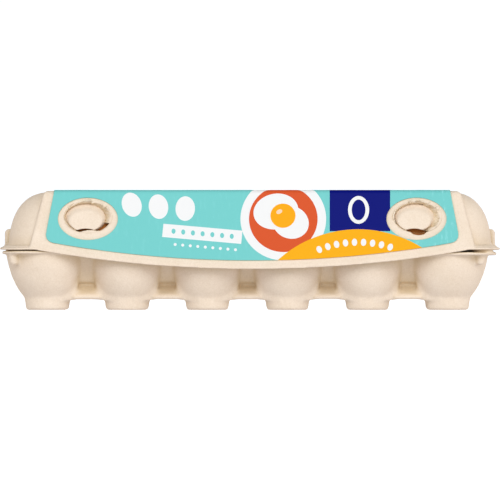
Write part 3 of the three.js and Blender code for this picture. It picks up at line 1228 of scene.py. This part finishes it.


# Pieces on the frame

# The first finish carries painted shade in corners and hollows; the knobs' finish has none
pulpFinish, lockFinish = mouldedPulp("mouldedPulp", True), mouldedPulp("lockPulp", False)
pocketShadeFinish, paperFinish = shadedPulp(), printedPaper()
for make, node, slot, finish in (
    (addTray, "carton", "pulp", pulpFinish),
    (addLid, "carton", "pulp", pulpFinish),
    (addLockKnobs, "carton", "pulp", lockFinish),
    (addTornEdges, "carton", "pulp", pulpFinish),
    (addShadePlates, "carton", "pulp", pocketShadeFinish),
    (addHinge, "carton", "pulp", pulpFinish),
    (addLabel, "label", "label_paper", paperFinish),
):
    piece = make()
    piece.data.materials.clear()
    piece.data.materials.append(finish)
    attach(piece, "root")
    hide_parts(node)
    print(piece.name, "has", triangles(piece), "triangles")

# Studio

studio = {
    "distance": 13.5,  # metres, so that the far feet hide behind the near ones as in a long lens
    "frameWidth": 299.25,
    "sensorWidth": 36,
    "eyeZ": 35.9,
    "frontY": -50,
    "keyPlace": (0, -2.2, 1.5),  # metres
    "keySize": 1.3,
    "keyPower": 38.5,
    "keyColour": (0.8, 0.9, 1),
    "sideways": 0.17,  # the sky is that much brighter at the right and darker at the left
    "sky": [  # height of the direction, from straight down to straight up, and the light from there
        (-1, 0.62, 0.61, 0.65),
        (-0.5, 0.77, 0.79, 0.86),
        (-0.12, 0.94, 0.97, 1.05),
        (-0.03, 1.02, 1.05, 1.1),
        (0.03, 1.04, 1.07, 1.12),
        (0.2, 1.2, 1.22, 1.27),
        (0.42, 1.31, 1.28, 1.3),
        (0.58, 0.62, 0.57, 0.52),
        (0.7, 0.05, 0.05, 0.05),
    ],
    "floorSize": 60,  # metres
    "floorColour": "#F6F6F6",
    "floorGlow": 0.75,
    "floorRoughness": 0.6,
    "floorSpecular": 0,
}


def addCamera():
    far = studio["distance"]
    bpy.ops.object.camera_add(
        location=(0, studio["frontY"] * mm - far, studio["eyeZ"] * mm), rotation=(math.pi / 2, 0, 0)
    )
    camera = bpy.context.object
    camera.data.sensor_width = studio["sensorWidth"]
    camera.data.lens = camera.data.sensor_width * far / (studio["frameWidth"] * mm)
    bpy.context.scene.camera = camera


def addKeyLight():
    place = Vector(studio["keyPlace"])
    bpy.ops.object.light_add(type="AREA", location=place)
    key = bpy.context.object
    key.data.size = studio["keySize"]
    key.data.energy = studio["keyPower"]
    key.data.color = studio["keyColour"]
    aim = Vector((0, 0, studio["eyeZ"] * mm)) - place
    key.rotation_euler = aim.to_track_quat("-Z", "Y").to_euler()


def addFloor():
    bpy.ops.mesh.primitive_plane_add(size=studio["floorSize"])
    floor = bpy.context.object
    floor.name = floor.data.name = "studioFloor"
    material, surface = newMaterial("whiteAcrylic")
    surface.inputs["Base Color"].default_value = linear(studio["floorColour"])
    surface.inputs["Roughness"].default_value = studio["floorRoughness"]
    surface.inputs["Specular IOR Level"].default_value = studio["floorSpecular"]
    surface.inputs["Emission Color"].default_value = (1, 1, 1, 1)
    surface.inputs["Emission Strength"].default_value = studio["floorGlow"]
    under = addNode(material, "NewGeometry", {})["Backfacing"]
    # Seen from below, the floor doesn't hide the feet
    connect(material, compute(material, "SUBTRACT", 1.0, under), surface.inputs["Alpha"])
    floor.data.materials.append(material)
    # The sky below lights the carton instead
    floor.visible_diffuse = False
    floor.visible_shadow = False


def addSky():
    world = bpy.data.worlds.new("studio")
    world.use_nodes = True
    aim = addNode(world, "SeparateXYZ", {0: addNode(world, "TexCoord", {})["Generated"]})
    height = remap(world, aim[2], -1.0, 1.0)
    light = addNode(world, "ValToRGB", {"Fac": height})["Color"]
    stops = light.node.color_ramp.elements
    stops.remove(stops[1])
    full = 2  # a stop holds half the light, so that it stays below 1
    for i, (rise, *colour) in enumerate(studio["sky"]):
        stop = stops.new((rise + 1) / 2) if i else stops[0]
        stop.position = (rise + 1) / 2
        stop.color = (*[part / full for part in colour], 1)
    strength = compute(world, "MULTIPLY_ADD", aim[0], studio["sideways"] * full, float(full))
    sky = world.node_tree.nodes["Background"].inputs
    connect(world, light, sky["Color"])
    connect(world, strength, sky["Strength"])
    bpy.context.scene.world = world


addCamera()
addKeyLight()
addFloor()
addSky()
bpy.context.scene.view_settings.view_transform = "Standard"
